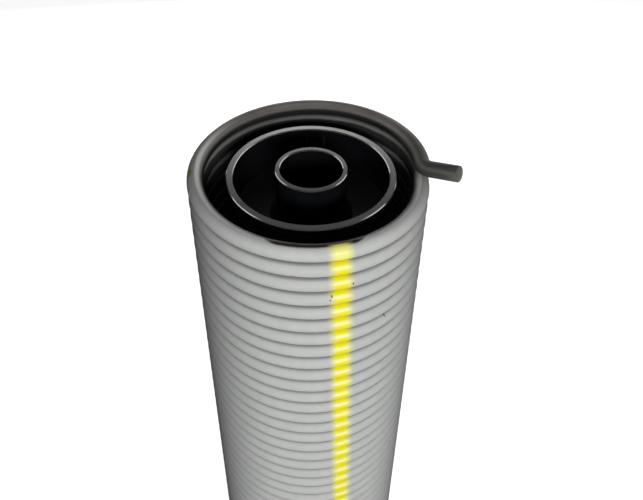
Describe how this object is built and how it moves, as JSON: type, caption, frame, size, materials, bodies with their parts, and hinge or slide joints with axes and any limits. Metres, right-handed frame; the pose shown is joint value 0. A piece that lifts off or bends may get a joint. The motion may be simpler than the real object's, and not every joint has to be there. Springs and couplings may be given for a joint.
{
  "type": "garage door torsion spring",
  "caption": "Left-hand torsion spring, closely coiled, on its anchor, round a sleeve tube and a shaft tube.",
  "frame": {"origin": "centre of the shaft tube's bore at the anchor's underside, where the part stands", "axes": "+Z along the shaft, up through the coil; seen from above, the upper leg points 36 degrees from +X towards -Y"},
  "size_m": [0.1308, 0.1178, 0.4379],
  "materials": {
    "spring_steel": "satin drawn wire with a thin grey film",
    "sleeve_black": "gloss black lacquer, bright at the rim",
    "shaft_black": "gloss black lacquer, worn at the rim",
    "anchor_grey": "semi-gloss dark grey paint",
    "weld_grey": "painted over, rippled"
  },
  "bodies": {
    "root": {"torsion_spring": "spring_steel", "sleeve_tube": "sleeve_black", "shaft_tube": "shaft_black", "web": "sleeve_black", "anchor": "anchor_grey", "weld_beads": "weld_grey"}
  },
  "joints": []
}
